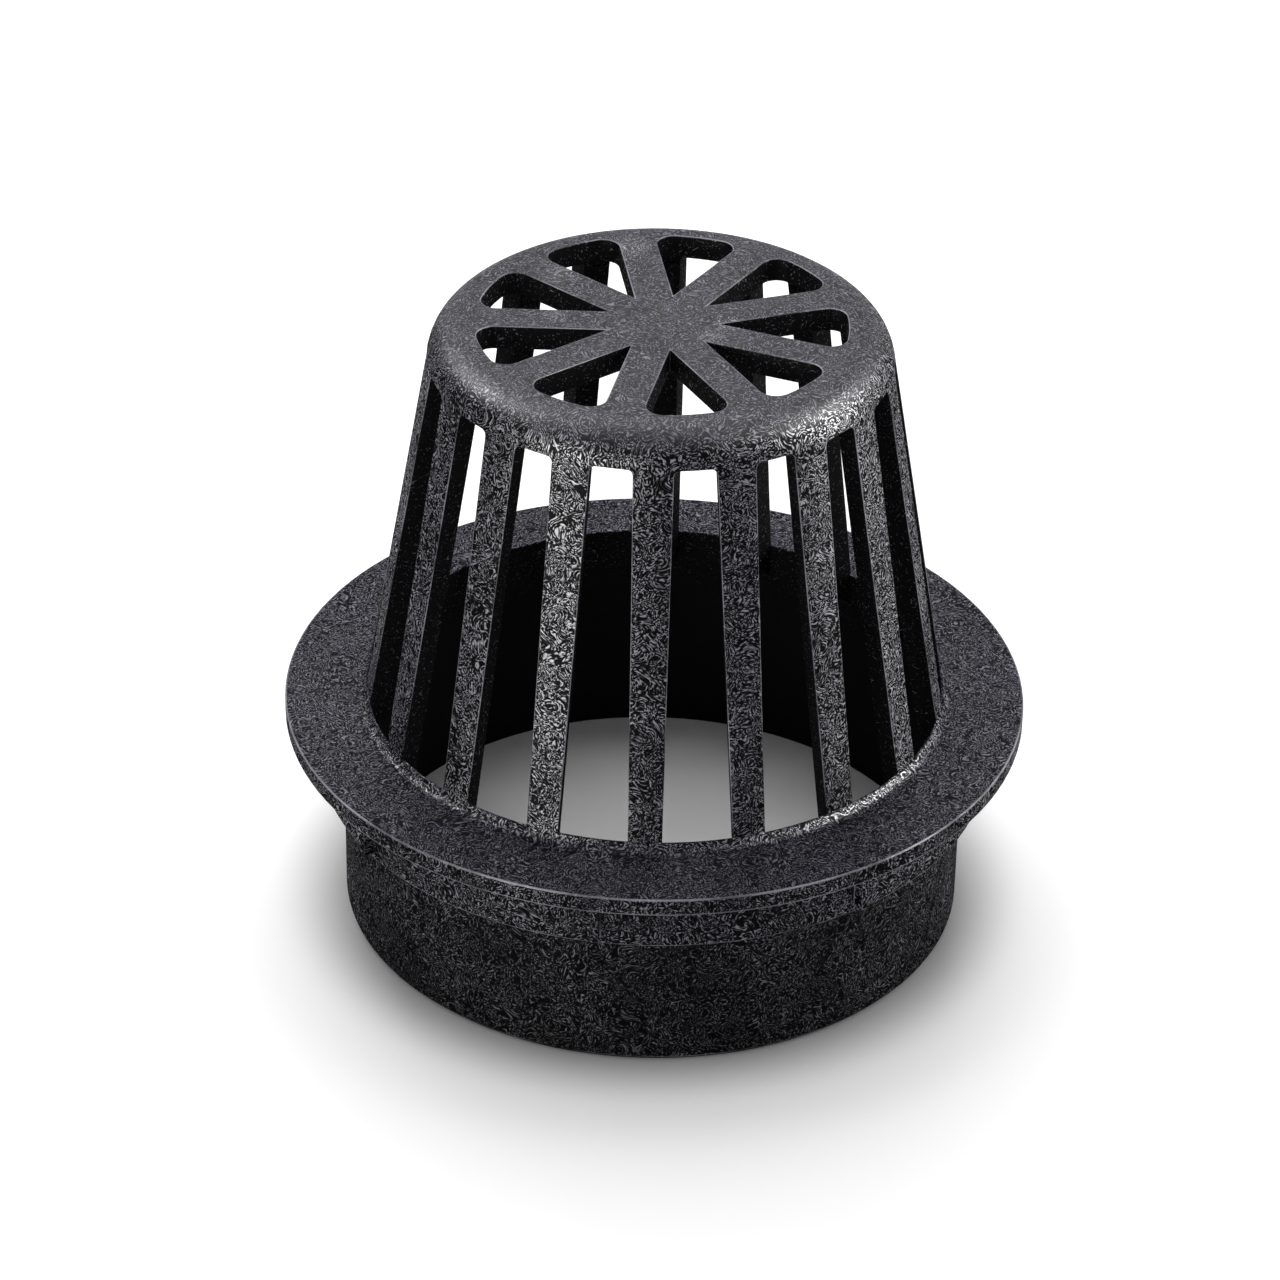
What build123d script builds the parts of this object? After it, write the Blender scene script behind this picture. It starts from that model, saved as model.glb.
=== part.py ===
"""Atrium grate for a 4 inch drain: one moulding with a slotted dome, a flange and two skirts.

Millimetres. The origin is the centre of the long skirt's bottom rim, and +Z is the grate's axis.
Ribs of the cage stand on the Y axis, and a window and a wedge slot point along +X.
"""
from build123d import *

import os
from math import asin, atan, cos, degrees, radians, sin, tan

# Long skirt, which drops into the drain pipe
skirt_radius = 49.0
skirt_length = 24.5  # below the seat
skirt_wall = 2.5
skirt_lead_in = 0.8  # chamfer round the outside of the rim

# Short skirt, whose end seats on the pipe and whose outside fits a fitting's hub
collar_length = 9.3  # below the flange
collar_wall = 2.2

# Groove between the skirts, which keeps the walls even
groove_width = 1.6  # at its mouth
groove_depth = 7.0  # above the seat
groove_draft = 2.0  # degrees, on the long skirt's side

# Crush ribs, which grip the hub
crush_rib_count = 8
crush_rib_start = 37.5  # degrees from +X
crush_rib_width = 1.1
crush_rib_height = 1.8
crush_rib_setback = 1.2  # from the seat up to the ribs' ends

# Flange
flange_overhang = 5.2  # past the short skirt
flange_thickness = 2.8

# Lip round the opening that the cage stands in
opening_inset = 1.5  # from the long skirt's bore in to the opening
lip_height = 1.4
lip_width = 1.2  # at its foot
lip_crest = 0.4
lip_foot_bevel = 0.6

# Dome
dome_height = 65.0  # above the flange
crown_thickness = 3.8
crown_round = 6.4
shoulder_radius = 35.3  # of the dome, at the tops of the windows
shoulder_height = 59.6  # of the windows' tops, above the flange

# Ribs of the cage, with windows between them
rib_count = 18
rib_depth = 3.6
rib_foot_width = 5.2  # at the lip's crest
rib_top_width = 6.1  # at the windows' tops
rib_side_angle = 16.0  # degrees that a rib's sides lean in from its own radius
rib_bite = 0.35  # of a rib's outer face into the lip's crest
rib_foot_drop = 1.6  # of a rib's inner face, below the flange's top
window_corner_round = 0.9
cutter_clearance = 1.5  # of a window's cutter, past the dome's wall on each side

# Wedge slots of the crown, with parallel spokes between them
slot_count = 9
slot_setback = 7.2  # from the dome's shoulder in to the slots
spoke_width = 5.9
slot_corner_round = 2.6

# Heights above the rim, and radii, that follow
seat_height = skirt_length
flange_bottom = seat_height + collar_length
flange_top = flange_bottom + flange_thickness
lip_top = flange_top + lip_height
window_top = flange_top + shoulder_height
dome_top = flange_top + dome_height
crown_bottom = dome_top - crown_thickness
bore_radius = skirt_radius - skirt_wall
collar_inner_radius = skirt_radius + groove_width
collar_radius = collar_inner_radius + collar_wall
flange_radius = collar_radius + flange_overhang
opening_radius = bore_radius - opening_inset
slot_outer_radius = shoulder_radius - slot_setback
groove_top = seat_height + groove_depth
groove_taper = groove_depth * tan(radians(groove_draft))

# The dome's cone rises from the lip's crest and leans in to the shoulder
cone_foot_radius = opening_radius + rib_bite
cone_slope = (cone_foot_radius - shoulder_radius) / (window_top - lip_top)
cone_lean = atan(cone_slope)


def dome_radius(height: float) -> float:
    """Radius of the dome's outer cone at a height above the rim."""
    return cone_foot_radius - cone_slope * (height - lip_top)


def inner_dome_radius(height: float) -> float:
    """Radius of the dome's inner cone, one rib's depth inside the outer one."""
    return dome_radius(height) - rib_depth / cos(cone_lean)


# Skirts, flange and lip, turned from one section
with BuildPart() as base:
    with BuildSketch(Plane.XZ) as base_section:
        with BuildLine():
            Polyline(
                (bore_radius, 0),
                (skirt_radius - skirt_lead_in, 0),
                (skirt_radius, skirt_lead_in),
                (skirt_radius, seat_height),
                (skirt_radius + groove_taper, groove_top),
                (collar_inner_radius, groove_top),
                (collar_inner_radius, seat_height),
                (collar_radius, seat_height),
                (collar_radius, flange_bottom),
                (flange_radius, flange_bottom),
                (flange_radius, flange_top),
                (opening_radius + lip_width, flange_top),
                (opening_radius + lip_crest, lip_top),
                (opening_radius, lip_top),
                (bore_radius, seat_height),
                (bore_radius, 0),
            )
        make_face()
        lip_foot_corner = base_section.vertices().group_by(Axis.Y)[-2].sort_by(Axis.X)[0]
        chamfer(lip_foot_corner, lip_foot_bevel)
    revolve(axis=Axis.Z)

# Each window's cutter starts inside the dome, square to its cone, and narrows outwards,
# so the ribs between the windows are narrower inside than out
half_pitch = radians(180 / rib_count)
window_draft = radians(rib_side_angle) - half_pitch
cutter_depth = rib_depth + cutter_clearance
cutter_spread = cutter_depth * tan(window_draft)
outer_foot = flange_top - rib_foot_drop - rib_depth


def window_half_width(radius: float, rib_width: float) -> float:
    """Half a window's width on its cutter's plane, from the width of the ribs beside it."""
    spread = half_pitch - asin(rib_width / 2 / radius)
    bulge = radius * (1 - cos(spread))
    return radius * sin(spread) + (cutter_depth - bulge) * tan(window_draft)


window_length = (window_top - lip_top) / cos(cone_lean)
window_foot_half = window_half_width(cone_foot_radius, rib_foot_width)
window_top_half = window_half_width(shoulder_radius, rib_top_width)
window_narrowing = (window_foot_half - window_top_half) / window_length
cutter_top = window_length + cutter_spread
cutter_bottom = (outer_foot - lip_top) / cos(cone_lean) - cutter_depth
cutter_top_half = window_foot_half - window_narrowing * cutter_top
cutter_bottom_half = window_foot_half - window_narrowing * cutter_bottom
outward = Vector(cos(cone_lean), 0, sin(cone_lean))
cutter_origin = Vector(cone_foot_radius, 0, lip_top) - outward * cutter_depth

with BuildPart() as window_cutter:
    with BuildSketch(Plane(cutter_origin, x_dir=(0, 1, 0), z_dir=outward)) as window:
        with BuildLine():
            Polyline(
                (cutter_bottom_half, cutter_bottom),
                (cutter_top_half, cutter_top),
                (-cutter_top_half, cutter_top),
                (-cutter_bottom_half, cutter_bottom),
                close=True,
            )
        make_face()
    extrude(amount=rib_depth + 2 * cutter_clearance, taper=degrees(window_draft))
    head_edges = window_cutter.faces().sort_by(Axis.Z)[-1].edges()
    fillet(head_edges.filter_by(Axis.Y, reverse=True), window_corner_round)

# One wedge slot: its sides run parallel to the middles of the spokes beside it
spoke_angle = 180 / slot_count
slot_half_angle = spoke_angle - degrees(asin(spoke_width / 2 / slot_outer_radius))
slot_apex = spoke_width / 2 / sin(radians(spoke_angle))

with BuildSketch() as slot:
    with BuildLine():
        outer_arc = CenterArc((0, 0), slot_outer_radius, -slot_half_angle, 2 * slot_half_angle)
        Polyline(outer_arc @ 0, (slot_apex, 0), outer_arc @ 1)
    make_face()
    slot_corners = slot.vertices().sort_by(Axis.X)
    fillet(slot_corners[1:], slot_corner_round)

# Dome: a cone under a rounded crown, whose foot leans into the long skirt's wall
inner_foot = flange_top - rib_foot_drop

with BuildPart() as dome:
    with BuildSketch(Plane.XZ) as dome_section:
        with BuildLine():
            Polyline(
                (0, crown_bottom),
                (0, dome_top),
                (dome_radius(dome_top), dome_top),
                (dome_radius(outer_foot), outer_foot),
                (inner_dome_radius(inner_foot), inner_foot),
                (inner_dome_radius(crown_bottom), crown_bottom),
                close=True,
            )
        make_face()
        crown_corner = dome_section.vertices().group_by(Axis.Y)[-1].sort_by(Axis.X)[-1]
        fillet(crown_corner, crown_round)
    revolve(axis=Axis.Z)
    with PolarLocations(0, rib_count):
        add(window_cutter.part, mode=Mode.SUBTRACT)
    with BuildSketch(Plane.XY.offset(dome_top)):
        with PolarLocations(0, slot_count):
            add(slot.sketch)
    extrude(amount=-crown_thickness, mode=Mode.SUBTRACT)

# The whole moulding, with crush ribs on the short skirt
with BuildPart() as atrium_grate:
    add(base.part)
    add(dome.part)
    with BuildSketch(Plane.XY.offset(seat_height + crush_rib_setback)):
        with PolarLocations(collar_radius, crush_rib_count, start_angle=crush_rib_start):
            Rectangle(2 * crush_rib_height, crush_rib_width)
    extrude(amount=collar_length - crush_rib_setback)

atrium_grate.part.label = "atrium_grate"
os.makedirs("parts", exist_ok=True)
export_step(atrium_grate.part, "parts/atrium_grate.step")
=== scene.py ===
"""Atrium grate: a black moulded plastic dome grate, dressed for a render.

The grate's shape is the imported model's own. This script rounds its edges, gives it its plastic,
and sets it on a pale floor under soft studio light.
"""

from math import cos, radians, sin

import bpy
from mathutils import Matrix, Vector


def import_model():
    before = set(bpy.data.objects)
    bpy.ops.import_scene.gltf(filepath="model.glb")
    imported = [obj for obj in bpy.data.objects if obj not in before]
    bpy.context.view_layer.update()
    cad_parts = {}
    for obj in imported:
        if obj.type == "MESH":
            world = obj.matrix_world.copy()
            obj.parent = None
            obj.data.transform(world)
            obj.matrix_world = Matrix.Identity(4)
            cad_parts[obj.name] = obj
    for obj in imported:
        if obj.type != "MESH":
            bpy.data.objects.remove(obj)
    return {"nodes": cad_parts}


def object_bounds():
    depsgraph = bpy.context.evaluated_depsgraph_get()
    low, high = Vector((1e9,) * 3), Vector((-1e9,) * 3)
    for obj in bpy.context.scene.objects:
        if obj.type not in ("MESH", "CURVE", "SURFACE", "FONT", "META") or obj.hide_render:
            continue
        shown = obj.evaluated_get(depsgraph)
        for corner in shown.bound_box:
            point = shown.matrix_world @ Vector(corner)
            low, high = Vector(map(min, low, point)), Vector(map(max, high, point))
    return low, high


MM = 0.001

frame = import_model()
cad_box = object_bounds()
grate = frame["nodes"]["atrium_grate"]

# Heights and radii of the grate's forms, in metres
DOME_TOP = cad_box[1][2]
FLANGE_TOP = DOME_TOP - 65 * MM
FLANGE_BOTTOM = FLANGE_TOP - 2.8 * MM
FLANGE_RADIUS = cad_box[1][0]
SEAT = FLANGE_BOTTOM - 9.3 * MM
CROWN_BOTTOM = DOME_TOP - 3.8 * MM
WINDOW_TOP = FLANGE_TOP + 59.6 * MM
LIP_TOP = FLANGE_TOP + 1.4 * MM

# Edges, rounded where two faces meet at more than the sharp angle
EDGE_ROUND = 0.18 * MM
SHARP_ANGLE = radians(32)
SEAM_GAP = 0.002 * MM
FLAT_FACE_WEIGHT = 60

# Grain of the plastic: the scales of its noises, how far its strands are pulled, and its depth
SWIRL_SCALE = 300.0
GRAIN_SCALE = 820.0
CLOUD_SCALE = 90.0
STRAND_PULL = 0.03
GRAIN_DEPTH = 0.06 * MM

# Scuffs on the crown's top: x, y and reach of each, in millimetres
SCUFFS = (
    (-16.0, 14.7, 4.0),
    (-5.6, 24.2, 5.0),
    (-15.8, 0.9, 2.5),
    (10.1, 0.3, 3.5),
    (7.5, -3.9, 3.0),
)

# Pale rim line of wear and painted highlight: full up to the first distance from the rim, gone
# at the second
RIM_WEAR_AND_HIGHLIGHT_FULL = 0.16 * MM
RIM_WEAR_AND_HIGHLIGHT_END = 0.34 * MM

# Floor: how pale it is, half its width, and the light that it adds where it is looked at
FLOOR_PALE = 0.86
FLOOR_HALF = 6.0
FLOOR_GLOW = 0.02
FLOOR_GLOW_NEAR = 0.44
FLOOR_GLOW_FAR = 0.3

WORLD_LIGHT = 0.36

# The camera that took the photograph, fitted to the grate's circles
FRAME_PIXELS = 1280
SENSOR_WIDTH = 36.0
FOCAL_PIXELS = 4663.8
CAMERA_DISTANCE = 734.15 * MM
CAMERA_AZIMUTH = radians(-88.78)
CAMERA_ELEVATION = radians(32.949)
CAMERA_ROLL = radians(-1.14)
FLANGE_CENTRE_PIXEL = (654.43, 685.75)


class Value:
    """A shader socket with arithmetic: each operation adds one Math node."""

    def __init__(self, shader, socket):
        self.shader = shader
        self.socket = socket

    def math(self, operation, *others):
        settings = {"operation": operation}
        return self.shader.node("ShaderNodeMath", settings, self, *others).out()

    def __add__(self, other):
        return self.math("ADD", other)

    def __sub__(self, other):
        return self.math("SUBTRACT", other)

    def __mul__(self, other):
        return self.math("MULTIPLY", other)

    def __rsub__(self, other):
        settings = {"operation": "SUBTRACT"}
        return self.shader.node("ShaderNodeMath", settings, other, self).out()

    __radd__ = __add__
    __rmul__ = __mul__

    def most(self, other):
        """The larger of the two."""
        return self.math("MAXIMUM", other)

    def rise(self, low, high):
        """0 below low, 1 above high, and smooth between. High may be the lower of the two."""
        settings = {"interpolation_type": "SMOOTHSTEP"}
        sockets = {"Value": self, "From Min": low, "From Max": high}
        return self.shader.node("ShaderNodeMapRange", settings, **sockets).out("Result")


class Built:
    """A node of a shader, and its outputs by name."""

    def __init__(self, shader, node):
        self.shader = shader
        self.node = node

    def out(self, name=0):
        return Value(self.shader, self.node.outputs[name])


class Shader:
    """A material whose nodes are made by one method."""

    def __init__(self, name):
        self.material = bpy.data.materials.new(name)
        self.material.use_nodes = True
        self.tree = self.material.node_tree
        self.tree.nodes.clear()

    def node(self, kind, settings=None, *inputs, **named):
        """Adds a node: its settings, then its inputs by place or by name, with spaces as _."""
        made = self.tree.nodes.new(kind)
        for key, value in (settings or {}).items():
            setattr(made, key, value)
        for index, value in enumerate(inputs):
            self.plug(made.inputs[index], value)
        for name, value in named.items():
            self.plug(made.inputs[name.replace("_", " ")], value)
        return Built(self, made)

    def plug(self, socket, value):
        if isinstance(value, Value):
            self.tree.links.new(value.socket, socket)
        else:
            socket.default_value = value

    def mix(self, factor, a, b):
        """A colour between a and b. A Mix node's sockets for colours go by their places."""
        settings = {"data_type": "RGBA"}
        made = self.node("ShaderNodeMix", settings, factor)
        self.plug(made.node.inputs[6], a)
        self.plug(made.node.inputs[7], b)
        return made.out(2)

    def vector(self, operation, *inputs, **named):
        return self.node("ShaderNodeVectorMath", {"operation": operation}, *inputs, **named)

    def noise(self, place, scale, detail):
        return self.node("ShaderNodeTexNoise", None, Vector=place, Scale=scale, Detail=detail)

    def plastic(self, **named):
        return self.node("ShaderNodeBsdfPrincipled", None, **named).out("BSDF")


class Spot:
    """The shaded spot: where it is on the grate, and how far its face looks up and outward."""

    def __init__(self, s):
        self.place = s.node("ShaderNodeTexCoord").out("Object")
        split = s.node("ShaderNodeSeparateXYZ", None, self.place)
        self.x, self.y, self.z = split.out("X"), split.out("Y"), split.out("Z")
        normal = s.node("ShaderNodeNewGeometry").out("Normal")
        self.up = s.node("ShaderNodeSeparateXYZ", None, normal).out("Z")
        from_axis = s.node("ShaderNodeCombineXYZ", None, self.x, self.y, 0.0).out()
        self.radius = s.vector("LENGTH", from_axis).out("Value")
        radial = s.vector("NORMALIZE", from_axis).out()
        self.outward = s.vector("DOT_PRODUCT", normal, radial).out("Value")


def charcoal(level, cool=0.0):
    """A near-neutral dark colour, with a little violet in it."""
    return (level, level * (1 - 0.08 * cool), level * (1 + 0.35 * cool), 1)


def fibrous_noise(s, place):
    """A noise pulled out into thin strands, whose direction swirls from place to place."""
    swirl = s.noise(place, SWIRL_SCALE, 0.0).out("Color")
    pull = s.vector("SCALE", swirl, Scale=STRAND_PULL).out()
    pulled = s.vector("ADD", place, pull).out()
    return s.noise(pulled, GRAIN_SCALE, 1.0).out("Fac")


def scuffs(s, place):
    """Where the crown's top is scuffed pale: 1 at the middle of each mark, 0 outside them."""
    worn = None
    for x, y, reach in SCUFFS:
        centre = Vector((x * MM, y * MM, DOME_TOP))
        away = s.vector("DISTANCE", place, centre).out("Value")
        mark = away.rise(reach * MM, 0.0)
        worn = mark if worn is None else worn.most(mark)
    return worn


def rim_wear_and_highlight(s, spot):
    """A thin pale line of wear and painted highlight along the flange's two rims."""
    worn = None
    for height in (FLANGE_TOP, FLANGE_BOTTOM):
        beside = s.node("ShaderNodeCombineXYZ", None, spot.radius, 0.0, spot.z).out()
        rim = Vector((FLANGE_RADIUS, 0, height))
        away = s.vector("DISTANCE", beside, rim).out("Value")
        line = away.rise(RIM_WEAR_AND_HIGHLIGHT_END, RIM_WEAR_AND_HIGHLIGHT_FULL)
        worn = line if worn is None else worn.most(line)
    return worn


def front_glints(spot):
    """A short row on the flange's front, just outside the lip, where single specks shine."""
    row = spot.radius.rise(49.2 * MM, 49.8 * MM) * spot.radius.rise(51.2 * MM, 50.6 * MM)
    across = spot.x.rise(-3 * MM, 0) * spot.x.rise(18 * MM, 14 * MM)
    return row * across * spot.y.rise(0, -1 * MM)


def black_plastic(worn=False):
    """Charcoal plastic: grain and painted sheen outside, smooth cut sides with painted glints, pale
    scuffs.
    """
    s = Shader("worn_and_highlit_edges" if worn else "black_plastic")
    spot = Spot(s)
    z, up, outward, radius = spot.z, spot.up, spot.outward, spot.radius
    grain = fibrous_noise(s, spot.place)
    strand = grain.rise(0.45, 0.73)
    speck = grain.rise(0.64, 0.74)
    patchy = s.noise(spot.place, CLOUD_SCALE, 3.0).out("Fac").rise(0.3, 0.7)
    # Strands of the grain, which the colours below lighten into a painted sheen
    strand_grain_and_sheen = strand * strand * (patchy * 1.2 + 1.0)

    # The mould's outer faces carry the grain, most of it above the flange and least on the long
    # skirt. Cut sides and the inside are smooth, with a few pale specks of painted glint
    top = up.rise(0.5, 0.9)
    outer = outward.rise(0.55, 0.85).most(up.rise(0.2, 0.5))
    outer = outer.most(radius.rise(50.5 * MM, 52 * MM))
    above_seat = z.rise(SEAT - 1 * MM, SEAT + 0.5 * MM)
    above_flange = z.rise(FLANGE_TOP - 1 * MM, FLANGE_TOP + 1 * MM)
    grained = outer * (above_seat * 0.35 + above_flange * 0.3 + 0.35)
    in_slots = z.rise(CROWN_BOTTOM - 2 * MM, CROWN_BOTTOM)
    inside = z.rise(SEAT, FLANGE_TOP) * 0.45 + in_slots * 0.35
    # Painted glints: sparse pale specks on the cut sides and the inside, over a faint even lift
    painted_glints = (speck * inside + 0.025) * (1.0 - outer)

    # Colour: sides dark with strands that are grain lightened into a painted sheen, tops in
    # narrower, violet-tinted tones as a painted sheen of the light from above, and over both pale
    # scuffs and specks, painted glints, and the rims' line of wear and painted highlight
    side = s.mix(strand_grain_and_sheen * grained + painted_glints, charcoal(0.0035), charcoal(0.22, 0.6))
    # Tops: a violet-tinted copy in narrower tones, which paints in the sheen of the light from
    # above
    flat = s.mix(strand_grain_and_sheen, charcoal(0.004, 1.5), charcoal(0.08, 1.5))
    base = s.mix(top, side, flat)
    scuffed = scuffs(s, spot.place) * top * (strand * 0.6 + 0.1)
    # Pale marks: scuffs and specks on the tops, and painted glints in a row on the flange's front
    pale = scuffed + speck * patchy * top * 0.25 + front_glints(spot) * speck
    # The rims' pale line: wear and painted highlight
    pale = pale.most(rim_wear_and_highlight(s, spot) * (patchy * 0.4 + 0.25))
    base = s.mix(pale, base, charcoal(0.35, 0.3))

    # Gloss: strands shine, and the crown's top shines more evenly than the flange's
    crown = z.rise(LIP_TOP, WINDOW_TOP)
    gloss_side = strand_grain_and_sheen * grained * 1.2 + painted_glints + 0.02
    gloss_top = 0.06 + crown * 0.27 + strand * (1.1 - crown * 0.35)
    gloss = gloss_side * (1.0 - top) + gloss_top * top
    if worn:
        # Rounds facing out or up turn pale: wear, and a painted highlight along the edges
        off_lip = z.rise(LIP_TOP, LIP_TOP + 6 * MM).most(radius.rise(47 * MM, 50 * MM))
        rubbed_and_highlit = outward.most(up).rise(0.1, 0.6) * (patchy * 0.7 + 0.1) * off_lip
        base = s.mix(rubbed_and_highlit, base, charcoal(0.3, 0.4))
        gloss = gloss * 0.5 + rubbed_and_highlit * 0.5

    height = grain * (grained * 0.8 + 0.2)
    bump = s.node("ShaderNodeBump", None, Strength=1.0, Distance=GRAIN_DEPTH, Height=height)
    bumped = bump.out("Normal")
    matt = s.plastic(Base_Color=base, Roughness=0.9, Specular_IOR_Level=0.0, Normal=bumped)
    shiny = s.plastic(Base_Color=base, Roughness=0.45, IOR=1.58, Normal=bumped)
    shell = s.node("ShaderNodeMixShader", None, gloss, matt, shiny)
    s.node("ShaderNodeOutputMaterial", None, shell.out())
    return s.material


def round_edges(piece):
    """Rounds the moulding's sharp edges a little, as a mould leaves them."""
    piece.data.shade_smooth()
    weld = piece.modifiers.new("weld seams", "WELD")
    weld.merge_threshold = SEAM_GAP
    bevel = piece.modifiers.new("edge rounds", "BEVEL")
    bevel.width = EDGE_ROUND
    bevel.segments = 2
    bevel.use_clamp_overlap = False
    bevel.limit_method = "ANGLE"
    bevel.angle_limit = SHARP_ANGLE
    # The rounds take the second material: pale with wear and painted edge highlight
    bevel.material = 1
    shading = piece.modifiers.new("flat faces stay flat", "WEIGHTED_NORMAL")
    shading.mode = "FACE_AREA_WITH_ANGLE"
    shading.weight = FLAT_FACE_WEIGHT


def dress_grate():
    """Gives the grate its plastic, with a variant for the edge rounds, pale with wear and painted
    highlight.
    """
    piece = grate
    piece.data.materials.clear()
    piece.data.materials.append(black_plastic())
    piece.data.materials.append(black_plastic(worn=True))
    round_edges(piece)


def floor():
    """A pale floor, which lifts to white where the camera or a reflection looks at it."""
    s = Shader("pale_floor")
    ray = s.node("ShaderNodeLightPath")
    seen = ray.out("Is Camera Ray").most(ray.out("Is Glossy Ray"))
    place = s.node("ShaderNodeTexCoord").out("Object")
    away = s.vector("LENGTH", place).out("Value")
    clear = away.rise(46 * MM, 62 * MM) * FLOOR_GLOW_NEAR + away.rise(0.3, 1.6) * FLOOR_GLOW_FAR
    glow = seen * (clear + FLOOR_GLOW)
    lift = s.node("ShaderNodeEmission", None, Color=(1, 1, 1, 1), Strength=glow)
    pale = (FLOOR_PALE, FLOOR_PALE, FLOOR_PALE, 1)
    paint = s.node("ShaderNodeBsdfDiffuse", None, Color=pale)
    both = s.node("ShaderNodeAddShader", None, paint.out(), lift.out())
    s.node("ShaderNodeOutputMaterial", None, both.out())
    mesh = bpy.data.meshes.new("floor")
    half = FLOOR_HALF
    corners = [(-half, -half, 0), (half, -half, 0), (half, half, 0), (-half, half, 0)]
    mesh.from_pydata(corners, [], [(0, 1, 2, 3)])
    mesh.materials.append(s.material)
    plane = bpy.data.objects.new("floor", mesh)
    bpy.context.scene.collection.objects.link(plane)


def world():
    """A white studio: pale for the light it gives, white where it is seen or mirrored."""
    scene = bpy.context.scene
    scene.world = bpy.data.worlds.new("studio")
    scene.world.use_nodes = True
    tree = scene.world.node_tree
    tree.nodes.clear()
    ray = tree.nodes.new("ShaderNodeLightPath")
    light = tree.nodes.new("ShaderNodeBackground")
    light.inputs["Strength"].default_value = WORLD_LIGHT
    white = tree.nodes.new("ShaderNodeBackground")
    white.inputs["Color"].default_value = (1, 1, 1, 1)
    kinds = ("Is Camera Ray", "Is Glossy Ray", "Is Transmission Ray")
    seen = ray.outputs[kinds[0]]
    for kind in kinds[1:]:
        either = tree.nodes.new("ShaderNodeMath")
        either.operation = "MAXIMUM"
        tree.links.new(seen, either.inputs[0])
        tree.links.new(ray.outputs[kind], either.inputs[1])
        seen = either.outputs[0]
    mix = tree.nodes.new("ShaderNodeMixShader")
    tree.links.new(seen, mix.inputs[0])
    tree.links.new(light.outputs[0], mix.inputs[1])
    tree.links.new(white.outputs[0], mix.inputs[2])
    out = tree.nodes.new("ShaderNodeOutputWorld")
    tree.links.new(mix.outputs[0], out.inputs[0])


def direction(azimuth, elevation):
    """Out from the grate, by angles in radians. Azimuth 0 is +X, and -90 degrees is the front."""
    level = cos(elevation)
    return Vector((cos(azimuth) * level, sin(azimuth) * level, sin(elevation)))


def softbox(name, azimuth, elevation, distance, size, watts, gloss_only=False):
    """A soft light that looks at the grate, by angles in degrees. Its size is width by height."""
    light = bpy.data.lights.new(name, "AREA")
    light.shape = "RECTANGLE"
    light.size, light.size_y = size
    light.energy = watts
    lamp = bpy.data.objects.new(name, light)
    lamp.visible_diffuse = not gloss_only
    aim = direction(radians(azimuth), radians(elevation))
    cage_middle = Vector((0, 0, 60 * MM))
    lamp.location = cage_middle + aim * distance
    lamp.rotation_euler = aim.to_track_quat("Z", "Y").to_euler()
    bpy.context.scene.collection.objects.link(lamp)


def camera():
    """Looks down at the flange's centre, which is a little off the frame's middle."""
    back = direction(CAMERA_AZIMUTH, CAMERA_ELEVATION)
    right = Vector((-sin(CAMERA_AZIMUTH), cos(CAMERA_AZIMUTH), 0))
    up = back.cross(right)
    tilted_right = right * cos(CAMERA_ROLL) - up * sin(CAMERA_ROLL)
    tilted_up = right * sin(CAMERA_ROLL) + up * cos(CAMERA_ROLL)
    axes = Matrix((tilted_right, tilted_up, back)).transposed()
    middle = FRAME_PIXELS / 2
    across, down = FLANGE_CENTRE_PIXEL
    seen = Vector((across - middle, middle - down, -FOCAL_PIXELS))
    pan = Vector((0, 0, -1)).rotation_difference(seen.normalized())
    lens = bpy.data.cameras.new("camera")
    lens.sensor_width = SENSOR_WIDTH
    lens.lens = SENSOR_WIDTH * FOCAL_PIXELS / FRAME_PIXELS
    view = bpy.data.objects.new("camera", lens)
    view.location = Vector((0, 0, FLANGE_TOP)) + back * CAMERA_DISTANCE
    view.rotation_mode = "QUATERNION"
    view.rotation_quaternion = axes.to_quaternion() @ pan.inverted()
    bpy.context.scene.collection.objects.link(view)
    bpy.context.scene.camera = view


dress_grate()
floor()
world()
softbox("top light", 100, 62, 1.2, (1.0, 1.0), 12)
softbox("left light", -127, 6, 1.0, (0.22, 0.5), 50, gloss_only=True)
softbox("right light", 2, 20, 1.0, (0.46, 0.8), 75, gloss_only=True)
softbox("back left light", 157, 42, 1.0, (0.3, 0.3), 14, gloss_only=True)
camera()

bpy.context.scene.view_settings.view_transform = "Standard"
